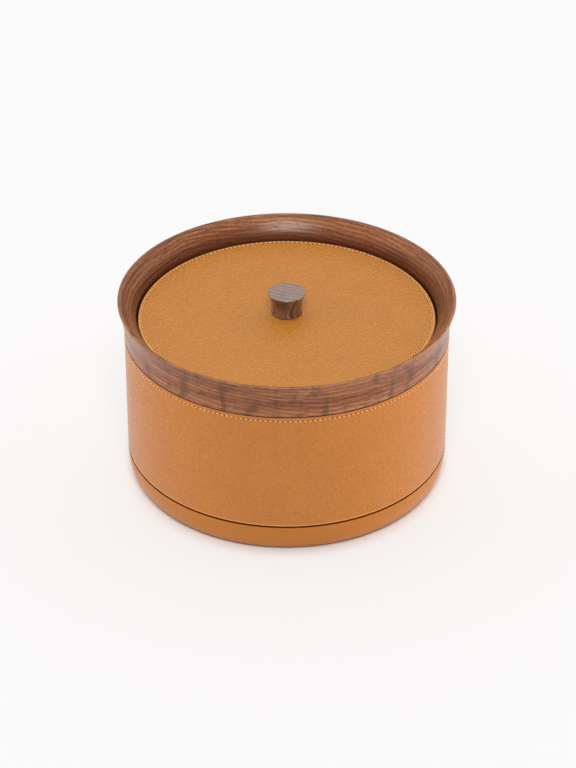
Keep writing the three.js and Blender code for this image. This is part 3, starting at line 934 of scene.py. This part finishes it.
# Knob
def knob_outline():
    foot_z = knob_low.z
    top_z = knob_high.z
    top_r = knob_high.x
    waist_z = foot_z + KNOB_COVE
    outline = [
        (0, foot_z + INSERT_HOLE), (INSERT_HOLE_R, foot_z + INSERT_HOLE), (INSERT_HOLE_R, foot_z),
    ]
    foot_top = foot_z + KNOB_FOOT_EDGE
    outline += arc(KNOB_FOOT_R - KNOB_FOOT_EDGE, foot_top, KNOB_FOOT_EDGE, -90, 0)[:-1]
    outline += flare(KNOB_WAIST_R, KNOB_FOOT_R, waist_z, foot_top, KNOB_COVE_POWER)[::-1]
    side = flare(KNOB_WAIST_R, top_r, waist_z, top_z, KNOB_FLARE_POWER)
    outline += [(r, z) for r, z in side if waist_z < z < top_z - KNOB_EDGE]
    outline += arc(top_r - KNOB_EDGE, top_z - KNOB_EDGE, KNOB_EDGE, 0, 90)
    outline += [(radius, top_z) for radius in between(top_r - 2 * KNOB_EDGE, 0, KNOB_TOP_POINTS)]
    return outline


piece(
    lathe("lid_knob_turned", knob_outline(), even_angles(KNOB_COLUMNS)),
    knob_wood, "lid", "walnut", "lid_knob")

# Finishes of the parts that keep their solids
FINISHES = {
    "base_board": board,
    "bottom_board": board,
    "wall_tube": board,
    "lid_board": board,
    "bearing_ball_cage": nylon,
    "bearing_outer_ring": aluminium,
    "bearing_inner_ring": aluminium,
    "knob_insert": brass,
}
for node_name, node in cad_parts.items():
    if not node.hide_render:
        node.data.materials.clear()
        node.data.materials.append(FINISHES.get(node_name, steel))

# Floor, in metres
FLOOR_HALF = 60.0
FLOOR_DROP = 0.0003
FLOOR_LIT = srgb(240, 238, 237)
FLOOR_WHITE = srgb(246, 246, 246)
FLOOR_SHADE_SHARE = 0.36
CONTACT_REACH = 0.014
CONTACT_DARK = 0.35
floor_mesh = bpy.data.meshes.new("floor")
floor_mesh.from_pydata(
    [(x * FLOOR_HALF, y * FLOOR_HALF, -FLOOR_DROP) for x, y in ((-1, -1), (1, -1), (1, 1), (-1, 1))],
    [], [(0, 1, 2, 3)])
floor = bpy.data.objects.new("floor", floor_mesh)
scene.collection.objects.link(floor)


def seen_or_mirrored(nodes):
    """1 for rays from the camera and for those that a surface mirrors or lets through."""
    rays = nodes.add("ShaderNodeLightPath").outputs
    mirrored = nodes.math("MAXIMUM", rays["Is Glossy Ray"], rays["Is Transmission Ray"])
    return nodes.math("MAXIMUM", mirrored, rays["Is Camera Ray"])


floor_material = bpy.data.materials.new("pale_floor")
floor_material.use_nodes = True
floor_nodes = Nodes(floor_material.node_tree)
floor_nodes.tree.nodes.clear()
floor_lit = floor_nodes.add("ShaderNodeBsdfDiffuse")
floor_nodes.feed(floor_lit.inputs["Color"], FLOOR_LIT)
floor_white = floor_nodes.add("ShaderNodeEmission")
floor_nodes.feed(floor_white.inputs["Color"], FLOOR_WHITE)
floor_open = floor_nodes.add("ShaderNodeAmbientOcclusion")
floor_nodes.feed(floor_open.inputs["Distance"], CONTACT_REACH)
open_share = floor_nodes.span(floor_open.outputs["AO"], CONTACT_DARK, 1, 0, 1 - FLOOR_SHADE_SHARE)
white_share = floor_nodes.math("MULTIPLY", open_share, seen_or_mirrored(floor_nodes))
floor_mix = floor_nodes.add("ShaderNodeMixShader")
for index, value in enumerate((white_share, floor_lit.outputs[0], floor_white.outputs[0])):
    floor_nodes.feed(floor_mix.inputs[index], value)
floor_nodes.feed(floor_nodes.add("ShaderNodeOutputMaterial").inputs["Surface"], floor_mix.outputs[0])
floor_mesh.materials.append(floor_material)

# Light: a white sweep behind the box, in a dimmer room with a low white backdrop all round
ROOM_LIGHT = 0.25
SWEEP_FRONT = -0.45
SWEEP_BACK = 0.15
SWEEP_LOW = 0.2
SWEEP_HIGH = 0.45
BACKDROP_LIGHT = 0.95
BACKDROP_TOP = 0.07
BACKDROP_FULL = 0.03
world = bpy.data.worlds.new("studio")
world.use_nodes = True
scene.world = world
sky = Nodes(world.node_tree)
background = sky.tree.nodes["Background"]
sky.feed(background.inputs["Color"], srgb(255, 255, 255))
_, backwards, upwards = sky.split(sky.add("ShaderNodeTexCoord").outputs["Generated"])
behind = sky.span(backwards, SWEEP_FRONT, SWEEP_BACK)
above = sky.span(upwards, SWEEP_LOW, SWEEP_HIGH)
studio = sky.span(sky.math("MULTIPLY", behind, above), 0, 1, ROOM_LIGHT, 1)
low_band = sky.span(upwards, BACKDROP_TOP, BACKDROP_FULL, 0, BACKDROP_LIGHT)
backdrop = sky.math("MULTIPLY", low_band, seen_or_mirrored(sky))
sky.feed(background.inputs["Strength"], sky.math("MAXIMUM", studio, backdrop))

# Strip lights, in metres
STRIP_HEIGHT = 0.14
STRIP_LENGTH = 3.2
STRIP_REACH = 4.0
STRIP_BACK = 0.5
STRIP_RISE = 0.01


def far_softbox(name, azimuth, elevation, width, strength):
    """A round soft light, far away. Its place and width are in degrees, as seen from the box."""
    data = bpy.data.lights.new(name, "SUN")
    data.angle = math.radians(width)
    data.energy = strength
    lamp = bpy.data.objects.new(name, data)
    lamp.rotation_euler = (math.radians(90 - elevation), 0, math.radians(azimuth))
    scene.collection.objects.link(lamp)


def side_strip(name, side, power):
    """A strip light far to one side of the box, lower than its rim."""
    data = bpy.data.lights.new(name, "AREA")
    data.shape = "RECTANGLE"
    data.size = STRIP_HEIGHT
    data.size_y = STRIP_LENGTH
    data.energy = power
    lamp = bpy.data.objects.new(name, data)
    lamp.location = (side * STRIP_REACH, STRIP_BACK, STRIP_HEIGHT / 2 + STRIP_RISE)
    lamp.rotation_euler = (0, side * TAU / 4, 0)
    lamp.visible_camera = False
    lamp.visible_glossy = False
    scene.collection.objects.link(lamp)


far_softbox("front", azimuth=0, elevation=50, width=24, strength=2.1)
side_strip("left", side=-1, power=66)
side_strip("right", side=1, power=106)

# Camera
CAMERA_TARGET = Vector((1.0, 0, 78.6)) * MM
CAMERA_DISTANCE = 2361 * MM
CAMERA_ELEVATION = math.radians(32.87)
CAMERA_LENS = 131.25
CAMERA_SENSOR = 36.0
camera_data = bpy.data.cameras.new("camera")
camera_data.lens = CAMERA_LENS
camera_data.sensor_width = CAMERA_SENSOR
camera = bpy.data.objects.new("camera", camera_data)
camera.location = CAMERA_TARGET + CAMERA_DISTANCE * Vector(
    (0, -math.cos(CAMERA_ELEVATION), math.sin(CAMERA_ELEVATION)))
camera.rotation_euler = (math.pi / 2 - CAMERA_ELEVATION, 0, 0)
scene.collection.objects.link(camera)
scene.camera = camera

scene.view_settings.view_transform = "Standard"
